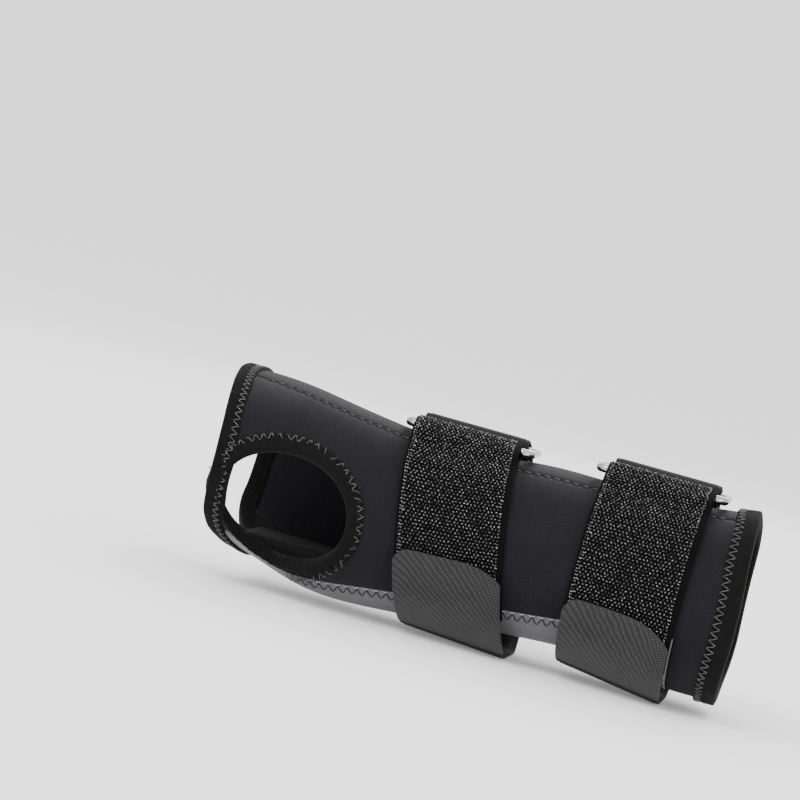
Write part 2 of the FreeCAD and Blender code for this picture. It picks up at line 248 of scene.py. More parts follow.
def grid_object(name, points, wrap_rows=False, wrap_columns=False, keep=None, lids=False):
    """A mesh on a grid of points in millimetres, with a UV map in millimetres along rows and columns.

    keep, if given, is an array that says which cells have a face.  lids closes the first and last row of
    a grid whose columns wrap round a flat tape, by joining each point to the one opposite.
    """
    rows, columns = points.shape[:2]
    index = np.arange(rows * columns).reshape(rows, columns)
    down = np.roll(index, -1, 0)
    right = np.roll(index, -1, 1)
    both = np.roll(down, -1, 1)
    cells = np.stack([index, down, both, right], -1)
    cells = cells[:None if wrap_rows else -1, :None if wrap_columns else -1]
    keep = np.ones(cells.shape[:2], bool) if keep is None else keep
    faces = cells[keep]
    if lids:
        half = columns // 2
        low = index[0]
        high = index[-1]
        k = np.arange(half - 1)
        first = np.stack([low[k], low[k + 1], low[columns - 2 - k], low[columns - 1 - k]], -1)
        last = np.stack([high[columns - 1 - k], high[columns - 2 - k], high[k + 1], high[k]], -1)
        faces = np.concatenate([faces, first, last])
    used = np.unique(faces)
    number = np.full(rows * columns, -1)
    number[used] = np.arange(len(used))
    piece = mesh_object(name, points.reshape(-1, 3)[used], number[faces])
    mesh = piece.data
    down_rows = np.linalg.norm(np.diff(points, axis=0), axis=-1)
    u = np.concatenate([[0.0], np.cumsum(down_rows.mean(1))])
    v = running_length(points, 1)
    v = v - v[:, columns // 2:columns // 2 + 1]
    place = np.stack([np.broadcast_to(u[:, None], (rows, columns)), v], -1).reshape(-1, 2)[used]
    corners = np.empty(len(mesh.loops), np.int32)
    mesh.loops.foreach_get("vertex_index", corners)
    mesh.uv_layers["cloth"].data.foreach_set("uv", place[corners].astype(np.float32).ravel())
    return piece


def foam_wall(piece):
    """Gives a sheet its foam thickness, inwards from its outer face."""
    solid = piece.modifiers.new("foam", "SOLIDIFY")
    solid.thickness = WALL * MM
    solid.offset = -1
    solid.use_even_offset = False


def seam_sink(columns):
    """How far a sheet sinks where it is sewn to its neighbour: a Gaussian of the columns from the seam."""
    return SEAM_SINK * np.exp(-(columns / SEAM_SPREAD) ** 2)


def outside_cells(inside):
    """The grid cells with a corner outside the thumb hole."""
    return ~(inside[:-1, :-1] & inside[1:, :-1] & inside[:-1, 1:] & inside[1:, 1:])


def side_panel(name, side, dorsal_y):
    """One side of the sleeve: rows run along the arm and columns go down from the dorsal seam.

    The last columns, below the palm seam, are only there behind the end of the palm panel.
    """
    along = np.linspace(0, 1, 151)
    down = np.linspace(0, 1, 64)
    below = np.linspace(0, 1, 26)[1:]
    start = HAND_END + EDGE_INSET
    x = start + (FOREARM_END - EDGE_INSET - start) * along
    x[np.argmin(np.abs(x - PALM_END))] = PALM_END
    x = np.broadcast_to(x[:, None], (len(x), len(down) + len(below))).copy()
    split = len(down)
    top = angle_at_width(x, dorsal_y)
    seam = angle_at_height(x, palm_seam_height(x), side)
    bottom = np.where(side < 0, 1.5 * np.pi, -0.5 * np.pi)
    angle = np.concatenate([top[:, :split] + (seam - top)[:, :split] * down,
                            seam[:, split:] + (bottom - seam[:, split:]) * below], 1)
    x = to_edges(x, angle)
    keep = np.ones((x.shape[0] - 1, x.shape[1] - 1), bool)
    keep[:, split - 1:] = x[:-1, split:] > PALM_END - 0.01
    if side < 0:
        x, angle, inside = clear_of_hole(x, angle)
        keep &= outside_cells(inside)
    column = np.arange(x.shape[1])
    points = skin(x, angle, -seam_sink(column - split + 1) - seam_sink(column))
    if side < 0:
        points = points[:, ::-1]
        keep = keep[:, ::-1]
    piece = grid_object(name, points, keep=keep)
    foam_wall(piece)
    return piece


def shader(name, roughness=0.5, shine=0.5, sheen=0.0):
    """A new material, its surface node, and two functions that add a node to it and finish it."""
    material = bpy.data.materials.new(name)
    material.use_nodes = True
    tree = material.node_tree
    bsdf = tree.nodes["Principled BSDF"]
    bsdf.inputs["Roughness"].default_value = roughness
    bsdf.inputs["Specular IOR Level"].default_value = shine
    bsdf.inputs["Sheen Weight"].default_value = sheen

    def add(kind, settings=None, **inputs):
        """A node with its settings and its inputs by name, or _ and a number; returns its first output."""
        item = tree.nodes.new(kind)
        for key, value in (settings or {}).items():
            setattr(item, key, value)
        for key, value in inputs.items():
            socket = item.inputs[int(key[1:])] if key[0] == "_" else item.inputs[key.replace("_", " ")]
            if isinstance(value, bpy.types.NodeSocket):
                tree.links.new(value, socket)
            else:
                socket.default_value = value
        return item.outputs[0]

    def finish_with(colour=None, height=None, strength=0.5, depth=0.0003, roughness=None):
        """Links the colour, the roughness and a bump made from a height to the material's surface."""
        if colour is not None:
            tree.links.new(colour, bsdf.inputs["Base Color"])
        if roughness is not None:
            tree.links.new(roughness, bsdf.inputs["Roughness"])
        if height is not None:
            bump = add("ShaderNodeBump", Strength=strength, Distance=depth, Height=height)
            tree.links.new(bump, bsdf.inputs["Normal"])

    return material, bsdf, add, finish_with


def calc(add, operation, *values, clamp=False):
    """A maths node on the values, in order."""
    numbered = {f"_{i}": value for i, value in enumerate(values)}
    return add("ShaderNodeMath", {"operation": operation, "use_clamp": clamp}, **numbered)


def blend_colours(add, share, low, high):
    """A colour between low and high by share."""
    return add("ShaderNodeMixRGB", Fac=share, Color1=(*low, 1), Color2=(*high, 1))


def knit_cloth(name, low, high, stitch=0.62, roughness=0.7, shine=0.12, sheen=0.03, strength=0.5):
    """Fine jersey knit on the UV map: columns of loops whose rows bend into a V, with slow mottling."""
    material, bsdf, add, finish_with = shader(name, roughness, shine, sheen)
    bsdf.inputs["Sheen Roughness"].default_value = 0.45
    place = add("ShaderNodeUVMap", {"uv_map": "cloth"})
    split = add("ShaderNodeSeparateXYZ", Vector=place).node
    across = calc(add, "MULTIPLY", split.outputs[1], 2 * math.pi / stitch)
    column = calc(add, "SINE", across)
    column_high = calc(add, "ABSOLUTE", column)
    along = calc(add, "MULTIPLY", split.outputs[0], 2 * math.pi / (stitch * 0.8))
    bent = calc(add, "MULTIPLY_ADD", column_high, 1.8, along)
    row = calc(add, "SINE", bent)
    loops = calc(add, "MULTIPLY_ADD", row, 0.35, column_high)
    mottle = add("ShaderNodeTexNoise", Vector=place, Scale=0.09, Detail=4.0, Roughness=0.6)
    lint = add("ShaderNodeTexNoise", Vector=place, Scale=2.3, Detail=2.0, Roughness=0.7)
    lint_share = add("ShaderNodeMapRange", Value=lint, _1=0.47, _2=0.72, _3=0.0, _4=0.9)
    share = calc(add, "MULTIPLY_ADD", mottle, 0.35, lint_share, clamp=True)
    colour = blend_colours(add, share, low, high)
    finish_with(colour, loops, strength, 0.00012)
    return material


def dress(piece, material, slot, body, *nodes):
    """Gives a finished piece its material, the body it rides on and the solids it replaces; slot is not used.
    """
    piece.data.materials.append(material)
    if body:
        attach(piece, body)
    if nodes:
        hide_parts(*nodes)


BLACK_KNIT = knit_cloth("black_knit_on_foam", (0.0020, 0.0019, 0.0027), (0.0118, 0.0114, 0.0155))
DORSAL_SEAM_Y = {-1: -14.0, 1: 16.0}
thumb_panel = side_panel("thumb_side_panel_cloth", -1, DORSAL_SEAM_Y[-1])
dress(thumb_panel, BLACK_KNIT, "sleeve_black", "sleeve", "thumb_side_panel")


# ---- Little-finger-side panel -------------------------------------------------------------------------
# The same black foam sheet on the other side, with no hole in it.
far_panel = side_panel("little_finger_side_panel_cloth", 1, DORSAL_SEAM_Y[1])
dress(far_panel, BLACK_KNIT, "sleeve_black", "sleeve", "little_finger_side_panel")


# ---- Dorsal panel -------------------------------------------------------------------------------------
# A straight strip of the same black sheet over the back of the hand, between two flatlocked seams.
def strip_panel(name, first, last, x_end, columns=40):
    """A sheet between two angles, each a function of x, sunk a little along both of its seams."""
    x = np.linspace(HAND_END + EDGE_INSET, x_end, 151)[:, None]
    share = np.linspace(0, 1, columns)[None, :]
    angle = first(x) + (last(x) - first(x)) * share
    x = np.broadcast_to(x, angle.shape)
    x = to_edges(x, angle)
    x, angle, inside = clear_of_hole(x, angle)
    keep = outside_cells(inside)
    from_seam = np.minimum(np.arange(columns), np.arange(columns)[::-1])
    points = skin(x, angle, -seam_sink(from_seam))
    piece = grid_object(name, points[:, ::-1], keep=keep[:, ::-1])
    foam_wall(piece)
    return piece


dorsal = strip_panel("dorsal_panel_cloth", lambda x: angle_at_width(x, DORSAL_SEAM_Y[1]),
                     lambda x: angle_at_width(x, DORSAL_SEAM_Y[-1]), FOREARM_END - EDGE_INSET)
dress(dorsal, BLACK_KNIT, "sleeve_black", "sleeve", "dorsal_panel")


# ---- Palm panel ---------------------------------------------------------------------------------------
# Foam sheet faced with smooth satin grey knit, under the palm and wrist.
# It is flatlocked to both side panels and ends in a straight seam short of the forearm.
GREY_KNIT = knit_cloth("grey_satin_knit", (0.068, 0.067, 0.075), (0.125, 0.123, 0.134),
                       stitch=0.45, roughness=0.5, shine=0.35, sheen=0.1, strength=0.2)
LINING = knit_cloth("black_lining", (0.002, 0.002, 0.002), (0.010, 0.010, 0.010), stitch=0.5)
palm = strip_panel("palm_panel_cloth", lambda x: angle_at_height(x, palm_seam_height(x), -1),
                   lambda x: 3 * np.pi - angle_at_height(x, palm_seam_height(x), -1), PALM_END, columns=70)
dress(palm, GREY_KNIT, "palm_grey", "sleeve", "palm_panel")
palm.data.materials.append(LINING)
palm.modifiers["foam"].material_offset = 1


# ---- Hand-end binding ---------------------------------------------------------------------------------
# A soft knit tape folded over the raw edge of all four panels and zigzag-sewn through.
HEM_WIDTH = 7.0
HEM_STITCH_FROM_EDGE = 5.0
STITCH_WIDTH = 2.6
STITCH_PITCH = 3.4
HEM_PITCH = 2.7
FOLD_ROUND = 0.9
PINCH_IN = 2.2


def tape_profile(width, plump=1.0, points=13):
    """The folded tape's section as (distance from the edge, height off the skin) round a closed loop.

    The outer face crowns as a sine, pinched by a narrow Gaussian where the stitches pull it down, the
    fold is half an ellipse round the wall's edge, and the inner face mirrors the outer.
    """
    out = np.linspace(width, FOLD_ROUND, points)
    crown = 0.35 + 0.75 * plump * np.sin(np.pi * np.clip((width - out) / width, 0, 0.62)) ** 0.6
    pinch = 0.35 * np.exp(-((out - (width - PINCH_IN)) / 1.3) ** 2)
    height = crown - pinch
    height[0] = -0.2
    fold = np.linspace(0, np.pi, 11)[1:-1]
    middle = -WALL / 2
    reach = height[-1] - middle
    fold_out = FOLD_ROUND * (1 - np.sin(fold))
    fold_height = middle + reach * np.cos(fold)
    inner = 2 * middle - height[::-1]
    return (np.concatenate([out, fold_out, out[::-1]]),
            np.concatenate([height, fold_height, inner]))


def even_turns(place, count):
    """Parameters from 0 to a full turn, spaced so that the points of place are evenly far apart."""
    fine = np.linspace(0, 2 * np.pi, 2001)
    points = place(fine)
    length = running_length(points)
    return np.interp(np.linspace(0, length[-1], count + 1)[:-1], length, fine), length[-1]


def folded_tape(name, place, width, wobble, plump=1.0, count=300):
    """Carries the folded section round an edge.  place(turn, out, off) lays it on the skin.

    A ripple with the stitches' pitch and two slow sines make the tape pucker and wander as sewn tape does.
    """
    turns, around = even_turns(lambda t: place(t, 0.0, 0.0), count)
    out, height = tape_profile(width, plump)
    arc = np.linspace(0, around, count, endpoint=False)[:, None]
    stitches = round(around / HEM_PITCH)
    near_stitches = np.exp(-((out - width + PINCH_IN) / 2.0) ** 2)
    pucker = 0.16 * np.cos(2 * np.pi * stitches * arc / around) * near_stitches
    slow = wobble * np.sin(2 * np.pi * 7 * arc / around + 1.0) * np.sin(2 * np.pi * 11 * arc / around)
    lift = np.sign(height + WALL / 2) * (pucker + slow)
    spread = out[None, :] * (1 + 0.04 * np.sin(2 * np.pi * 9 * arc / around))
    points = place(turns[:, None], spread, height[None, :] + lift)
    return grid_object(name, points[:, ::-1], wrap_rows=True, wrap_columns=True)


def thread_object(name, centre, normal, radius, closed=False, sides=6):
    """A round thread: a circle carried along the points, in the plane of the normal and the side vector."""
    forward = np.gradient(centre, axis=0)
    if closed:
        forward = np.roll(centre, -1, 0) - np.roll(centre, 1, 0)
    forward /= np.linalg.norm(forward, axis=1, keepdims=True) + 1e-9
    side = np.cross(forward, normal)
    side /= np.linalg.norm(side, axis=1, keepdims=True) + 1e-9
    up = np.cross(side, forward)
    turn = np.linspace(0, 2 * np.pi, sides, endpoint=False)
    ring = radius * (np.cos(turn)[None, :, None] * up[:, None] + np.sin(turn)[None, :, None] * side[:, None])
    points = centre[:, None] + ring[:, ::-1]
    return grid_object(name, points, wrap_rows=closed, wrap_columns=True, lids=not closed)


def skin_normals(points):
    """Rough outward directions: from the sleeve's middle line at each x to the point."""
    low, high, _ = outline(points[:, 0])
    away = np.stack([np.zeros(len(points)), points[:, 1], points[:, 2] - (low + high) / 2], -1)
    return away / np.linalg.norm(away, axis=1, keepdims=True)


ZIGZAG_STEPS = 12


def zigzag(name, place, middle, half_width, height, reach=(0.0, 2 * np.pi)):
    """One thread going to and fro across a line: a triangle wave, rising between its needle points.

    reach gives the first and last parameter of place; a full turn makes the thread a closed ring.
    """
    closed = reach == (0.0, 2 * np.pi)
    fine = np.linspace(*reach, 2001 if closed else 801)
    length = running_length(place(fine, middle, 0.0))
    count = round(length[-1] / HEM_PITCH) * ZIGZAG_STEPS + 1
    turns = np.interp(np.linspace(0, length[-1], count), length, fine)[:-1 if closed else None]
    wave = 1 - 4 * np.abs(np.arange(len(turns)) / ZIGZAG_STEPS % 1 - 0.5)
    lift = height + 0.28 - 0.75 * np.abs(wave) ** 7
    centre = place(turns, middle + half_width * wave, lift)
    return thread_object(name, centre, skin_normals(centre), 0.18, closed=closed)


def thread_material(name, colour):
    """Twisted polyester thread: fine slanting ply lines and a soft shine, with noise patches of full colour
    as painted glints on thread a quarter as bright.
    """
    material, _, add, finish_with = shader(name, roughness=0.5, shine=0.3)
    place = add("ShaderNodeUVMap", {"uv_map": "cloth"})
    ply = add("ShaderNodeTexWave", {"bands_direction": "DIAGONAL"}, Vector=place, Scale=1.6)
    # Painted glints: noise picks patches of the full colour over thread a quarter as bright.
    mottle = add("ShaderNodeTexNoise", Vector=place, Scale=0.8, Detail=2.0)
    painted_glint_share = add("ShaderNodeMapRange", Value=mottle, _1=0.38, _2=0.62)
    between_glints = tuple(0.25 * c for c in colour)
    finish_with(blend_colours(add, painted_glint_share, between_glints, colour), ply, 0.6, 0.00008)
    return material


def tape_cloth(name, low, high, rib=0.5, roughness=0.9, shine=0.12, sheen=0.02, strength=0.5):
    """Matte knit tape on the UV map: fine ribs along the tape crossed by finer rows, with mottling."""
    material, _, add, finish_with = shader(name, roughness, shine, sheen)
    place = add("ShaderNodeUVMap", {"uv_map": "cloth"})
    scale = 0.314 / rib
    ribs = add("ShaderNodeTexWave", {"bands_direction": "Y"}, Vector=place, Scale=scale, Distortion=0.6)
    rows = add("ShaderNodeTexWave", {"bands_direction": "X"}, Vector=place, Scale=scale * 1.3, Distortion=0.8)
    weave = calc(add, "MULTIPLY", ribs, rows)
    mottle = add("ShaderNodeTexNoise", Vector=place, Scale=0.25, Detail=5.0, Roughness=0.65)
    share = calc(add, "MULTIPLY_ADD", weave, 0.35, mottle, clamp=True)
    finish_with(blend_colours(add, share, low, high), weave, strength, 0.00015)
    return material


def hand_end(turn, out, off):
    """Beside the hand end's edge: out is the distance in from it along the arm."""
    return skin(hand_edge(turn) + out, turn, off)


BINDING_CLOTH = tape_cloth("matte_black_binding", (0.0012, 0.0012, 0.0012), (0.0068, 0.0068, 0.0065),
                           shine=0.06)
# Dark thread whose charcoal grey is lifted to the brightness of its glints: partly painted highlight.
GLINT_THREAD = thread_material("charcoal_thread_painted_glints", (0.105, 0.105, 0.108))
hand_binding = folded_tape("hand_end_binding_tape", hand_end, HEM_WIDTH, 0.14)
dress(hand_binding, BINDING_CLOTH, "binding", "sleeve", "hand_end_binding")
hand_stitch = zigzag("hand_end_stitching", hand_end, HEM_STITCH_FROM_EDGE, STITCH_WIDTH / 2, 0.75)
dress(hand_stitch, GLINT_THREAD, "binding", "sleeve")


# ---- Forearm-end binding ------------------------------------------------------------------------------
# The same tape, plumper, over the forearm end, where the sleeve flares a little.
def forearm_end(turn, out, off):
    """Beside the forearm end's edge, which wanders by half a millimetre."""
    edge = forearm_edge(-turn) + 0.5 * np.sin(2 * turn + 0.6) * np.sin(3 * turn)
    return skin(edge - out, -turn, off + 0.25 * np.exp(-out / 5.0))


forearm_binding = folded_tape("forearm_end_binding_tape", forearm_end, HEM_WIDTH + 1.0, 0.18, plump=1.1)
dress(forearm_binding, BINDING_CLOTH, "binding", "sleeve", "forearm_end_binding")
forearm_stitch = zigzag("forearm_end_stitching", forearm_end, HEM_WIDTH - 0.6, STITCH_WIDTH / 2 + 0.2, 0.8)
dress(forearm_stitch, GLINT_THREAD, "binding", "sleeve")


# ---- Thumb-hole binding -------------------------------------------------------------------------------
# The tape again, folded round the thumb hole; it is turned mostly inside along the grey palm panel.
HOLE_BINDING = 6.0
HOLE_NARROW = 1.3


def hole_width_share(turn):
    """1 over the top and back of the hole, falling to a narrow lip along its lower front edge."""
    low_front = np.clip(np.cos(turn - np.radians(232.0)), 0, 1) ** 0.8
    return 1 - (1 - HOLE_NARROW / HOLE_BINDING) * np.clip(1.5 * low_front - 0.25, 0, 1)


def thumb_edge(turn, out, off):
    """Beside the thumb hole's edge, with the tape's outer flange narrowed by hole_width_share."""
    share = np.where(off > -WALL / 2, hole_width_share(-turn), 1.0)
    return hole_point(-turn, out * share, off + 0.25 * (off > -WALL / 2))


def thumb_stitch_line(turn, out, off):
    """The line that the zigzag follows round the hole."""
    return hole_point(-turn, out, off)


hole_binding = folded_tape("thumb_hole_binding_tape", thumb_edge, HOLE_BINDING, 0.10)
dress(hole_binding, BINDING_CLOTH, "binding", "sleeve", "thumb_hole_binding")


hole_stitch = zigzag("thumb_hole_stitching", thumb_stitch_line, HOLE_BINDING - 1.2, 1.2, 0.55,
                     reach=(np.radians(-178), np.radians(72)))
dress(hole_stitch, GLINT_THREAD, "binding", "sleeve")


# ---- Flatlock seams -----------------------------------------------------------------------------------
# Pale thread dashes along each seam, their pale colour a painted highlight on the grey panel's lit cut edge,
# with dark V stitches reaching into the grey panel below.
EDGE_HIGHLIGHT_THREAD = thread_material("pale_thread_painted_edge_highlight", (0.38, 0.38, 0.39))
DARK_THREAD = thread_material("black_thread", (0.006, 0.006, 0.006))
DASH = 2.4
DIVE = 0.55


def dashes(name, angle_of, first, last, radius, height, material, slot):
    """Straight stitches along a seam: short arched threads that dive in at both ends, as one mesh."""
    count = int((last - first) / STITCH_PITCH)
    rows = []
    arch = np.linspace(0, 1, 7)
    for i in range(count):
        x = first + STITCH_PITCH * i + DASH * arch
        rows.append(skin(x, angle_of(x), height - DIVE * np.abs(2 * arch - 1) ** 5))
    parts = [thread_object(name, r, skin_normals(r), radius) for r in rows]
    dress(join(name, parts), material, slot, "sleeve")


def join(name, parts):
    """Several new objects made one, keeping their UV maps."""
    with bpy.context.temp_override(active_object=parts[0], selected_editable_objects=parts):
        bpy.ops.object.join()
    parts[0].name = name
    return parts[0]


def palm_seam_angle(side):
    """The palm seam's angle on one side, as a function of x."""
    return lambda x: angle_at_height(x, palm_seam_height(x), side)


def seam_zigzag(name, side, first, last, reach):
    """The V stitches: a triangle wave from the seam line down into the grey panel."""
    count = int((last - first) / STITCH_PITCH)
    x = np.linspace(first, first + count * STITCH_PITCH, count * ZIGZAG_STEPS + 1)
    wave = 2 * np.abs(np.arange(len(x)) / ZIGZAG_STEPS % 1 - 0.5)
    angle = angle_at_height(x, palm_seam_height(x) - 0.4 - reach * wave, side)
    lift = 0.22 - 0.5 * np.abs(2 * wave - 1) ** 7
    centre = skin(x, angle, lift)
    whole = thread_object(name, centre, skin_normals(centre), 0.16)
    dress(whole, DARK_THREAD, "sleeve_black", "sleeve")


for side, label, first in ((-1, "thumb_side", -56.0), (1, "far_side", -80.0)):
    dashes(f"palm_seam_{label}_dashes", palm_seam_angle(side), first, PALM_END - 2, 0.18, 0.15,
           EDGE_HIGHLIGHT_THREAD, "palm_grey")
    seam_zigzag(f"palm_seam_{label}_vees", side, first, PALM_END - 2, 2.6)
    dashes(f"dorsal_seam_{label}_dashes", lambda x, s=side: angle_at_width(x, DORSAL_SEAM_Y[s]),
           HAND_END + 9, FOREARM_END - 10, 0.2, 0.0, GLINT_THREAD, "sleeve_black")


def palm_end_seam():
    """A straight stitched line across the palm, where the grey panel ends, in pale thread painted as the
    highlight on the panel's lit cut edge.
    """
    low_side = angle_at_height(PALM_END, palm_seam_height(PALM_END), -1)
    count = int(50.0 / STITCH_PITCH)
    parts = []
    for i in range(count):
        angle = low_side + (3 * np.pi - 2 * low_side) * (i + np.linspace(0.12, 0.82, 7)) / count
        points = skin(PALM_END - 0.6, angle, 0.15 - DIVE * np.abs(np.linspace(-1, 1, 7)) ** 5)
        parts.append(thread_object("palm_end_seam", points, skin_normals(points), 0.22))
    dress(join("palm_end_seam", parts), EDGE_HIGHLIGHT_THREAD, "palm_grey", "sleeve")


palm_end_seam()


# ---- Bands --------------------------------------------------------------------------------------------
# One per strap: 38 mm nylon tape whose outer face is a pile of stiff loops, which the tab's hooks grip.
# Its lower end is sewn to the sleeve under the tab, and its upper end goes round the ring and back.
TAPE_HALF = 19.0
TAPE = 1.3
CLEAR = 0.45
RING_WIRE = 3.0
RING_BARS_APART = 17.0
RING_PLAY = 0.9
TAB_LAYER = 3.9
LOOP_DIP = 1.2
LEAN_HEIGHT = 36.0
STRAPS = {
    "wrist": {"centre": -5.6, "lean": -0.19, "hang": 2.2, "top": 30.4, "peak": -0.4, "drops": (4.5, 5.5),
              "powers": (5.0, 4.4)},
    "forearm": {"centre": 56.2, "lean": 0.0, "hang": 4.8, "top": 29.0, "peak": -0.5, "drops": (4.5, 8.0),
                "powers": (5.0, 4.2)},
}


def plain_skin(x, angle, off):
    """The skin without its soft dents, which tight tape bridges."""
    low, high, half = outline(x)
    y = (half + off) * oval(np.cos(angle))
    return np.stack([x, y, (low + high) / 2 + ((high - low) / 2 + off) * oval(np.sin(angle))], -1)


def loop_skin(strap, x, angle, off, across):
    """As plain_skin above the middle; below it the tail hangs to the table and is pressed flat there.

    Its hand-side edge hangs less: it is raised in proportion to the distance from the other edge.
    """
    low, high, half = outline(x)
    middle = (low + high) / 2
    inset = TAB_LAYER - off
    sine = oval(np.sin(angle))
    raised = STRAPS[strap]["hang"] * (TAPE_HALF - across) / (2 * TAPE_HALF)
    floor = TAPE / 2 + inset + raised
    drop = np.maximum(middle + (middle - TAPE / 2 + LOOP_DIP - inset - raised) * sine, floor)
    above = middle + ((high - low) / 2 + off) * sine
    z = np.where(sine > 0, above, drop)
    return np.stack([x, (half + off) * oval(np.cos(angle)), z], -1)


def cad_corners(node):
    """Lowest and highest corner of a CAD solid, in millimetres."""
    return [np.array(corner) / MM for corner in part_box(node)]


def leaning(strap, z, across):
    """x of a place across the tape at height z, for the strap's centre and lean."""
    return STRAPS[strap]["centre"] + STRAPS[strap]["lean"] * (z - LEAN_HEIGHT) + across


def tape_middle(strap, steps, across):
    """The tape's middle surface, one row per step and one column per place across.

    Each step is ("skin" or "loop", degrees, off) or ("bar", side, degrees, radius); the tape's lean
    shifts each row along the arm by its height.
    """
    ring_low, ring_high = cad_corners(f"{strap}_strap_ring")
    bar_z = (ring_low[2] + ring_high[2]) / 2
    rows = []
    for step in steps:
        if step[0] == "bar":
            _, side, degrees, radius = step
            turn = math.radians(degrees)
            z = bar_z + radius * math.sin(turn)
            y = side * RING_BARS_APART / 2 + radius * math.cos(turn)
            x = leaning(strap, z, across)
            rows.append(np.stack([x, np.full_like(across, y), np.full_like(across, z)], -1))
        else:
            def place(x, turn, off):
                """The step's point, on the skin or on the hanging loop."""
                if step[0] == "skin":
                    return plain_skin(x, turn, off)
                return loop_skin(strap, x, turn, off, across)

            x = np.full_like(across, STRAPS[strap]["centre"])
            turn = np.full_like(across, math.radians(step[1]))
            for _ in range(3):
                x = leaning(strap, place(x, turn, step[2])[:, 2], across)
            rows.append(place(x, turn, step[2]))
    return np.array(rows)


def smooth_rows(rows, spacing):
    """Rows evenly spaced on the centripetal Catmull-Rom curve through the given ones."""
    middle = rows[:, rows.shape[1] // 2]
    gaps = np.linalg.norm(np.diff(middle, axis=0), axis=1) ** 0.5
    knots = np.concatenate([[0.0], np.cumsum(gaps)])
    slopes = np.gradient(rows, knots, axis=0)
    fine = np.linspace(0, knots[-1], 1500)
    i = np.clip(np.searchsorted(knots, fine) - 1, 0, len(knots) - 2)
    step = (knots[i + 1] - knots[i])[:, None, None]
    s = ((fine - knots[i])[:, None, None]) / step
    curve = ((2 * s ** 3 - 3 * s ** 2 + 1) * rows[i] + (s ** 3 - 2 * s ** 2 + s) * step * slopes[i]
             + (3 * s ** 2 - 2 * s ** 3) * rows[i + 1] + (s ** 3 - s ** 2) * step * slopes[i + 1])
    length = running_length(curve[:, curve.shape[1] // 2])
    wanted = np.linspace(0, length[-1], int(length[-1] / spacing) + 1)
    k = np.clip(np.searchsorted(length, wanted) - 1, 0, len(length) - 2)
    share = ((wanted - length[k]) / (length[k + 1] - length[k]))[:, None, None]
    even = curve[k] * (1 - share) + curve[k + 1] * share
    even[..., 2] = np.maximum(even[..., 2], TAPE / 2)
    return even


def tape_normals(rows):
    """Unit vectors square to the tape, in the YZ plane."""
    forward = np.gradient(rows, axis=0)
    normal = np.stack([np.zeros(rows.shape[:2]), -forward[..., 2], forward[..., 1]], -1)
    return normal / np.linalg.norm(normal, axis=-1, keepdims=True)


def tape_object(name, rows, across, thickness, outward, selvedge=1.6, lids=True):
    """A closed flat tape: an outer and an inner sheet joined round rounded edges.

    The half thickness is constant, drops at the selvedge, and falls as a quarter circle at each edge.
    """
    from_edge = TAPE_HALF - np.abs(across)
    half = thickness / 2 * np.where(from_edge < selvedge, 0.72, 1.0)
    half = half * np.sqrt(np.clip(1 - (1 - np.clip(from_edge / 0.5, 0, 1)) ** 2, 0.02, 1))
    normal = tape_normals(rows) * outward
    outer = rows + normal * half[None, :, None]
    inner = rows - normal * half[None, :, None]
    points = np.concatenate([outer, inner[:, ::-1]], 1)
    if outward > 0:
        points = points[:, ::-1]
    return grid_object(name, points, wrap_columns=True, lids=lids)


def band_steps():
    """Up the thumb side, lifting as a smooth step over its own folded end, round the bar and back under."""
    flat = CLEAR + TAPE / 2
    steps = []
    for a in list(range(226, 140, -7)) + [136, 129]:
        lift = np.clip((172 - a) / 38, 0, 1)
        steps.append(("skin", a, flat + (TAPE + 0.1) * lift * lift * (3 - 2 * lift)))
    doubled = flat + TAPE + 0.1
    steps += [("skin", 121, doubled + 0.6), ("skin", 114, doubled + 2.4)]
    radius = RING_WIRE / 2 + 0.25 + TAPE / 2
    steps += [("bar", -1, a, radius) for a in np.linspace(110, -95, 9)]
    steps += [("skin", 114, flat + 0.5), ("skin", 121, flat), ("skin", 129, flat), ("skin", 136, flat)]
    return steps


EDGE_ROUNDING = np.array([0.0, 0.06, 0.2, 0.5])


def across_places(count):
    """Places across the tape, closer together at its rounded edges."""
    inner = np.linspace(-TAPE_HALF + 1.6, TAPE_HALF - 1.6, count)
    left = np.concatenate([-TAPE_HALF + EDGE_ROUNDING, [-TAPE_HALF + 1.0, -TAPE_HALF + 1.5]])
    return np.concatenate([left, inner, -left[::-1]])


PILE_SPACING = 1.34
PILE_REACH = 0.27
PILE_WIRE = 0.17
PILE_STEPS = 5


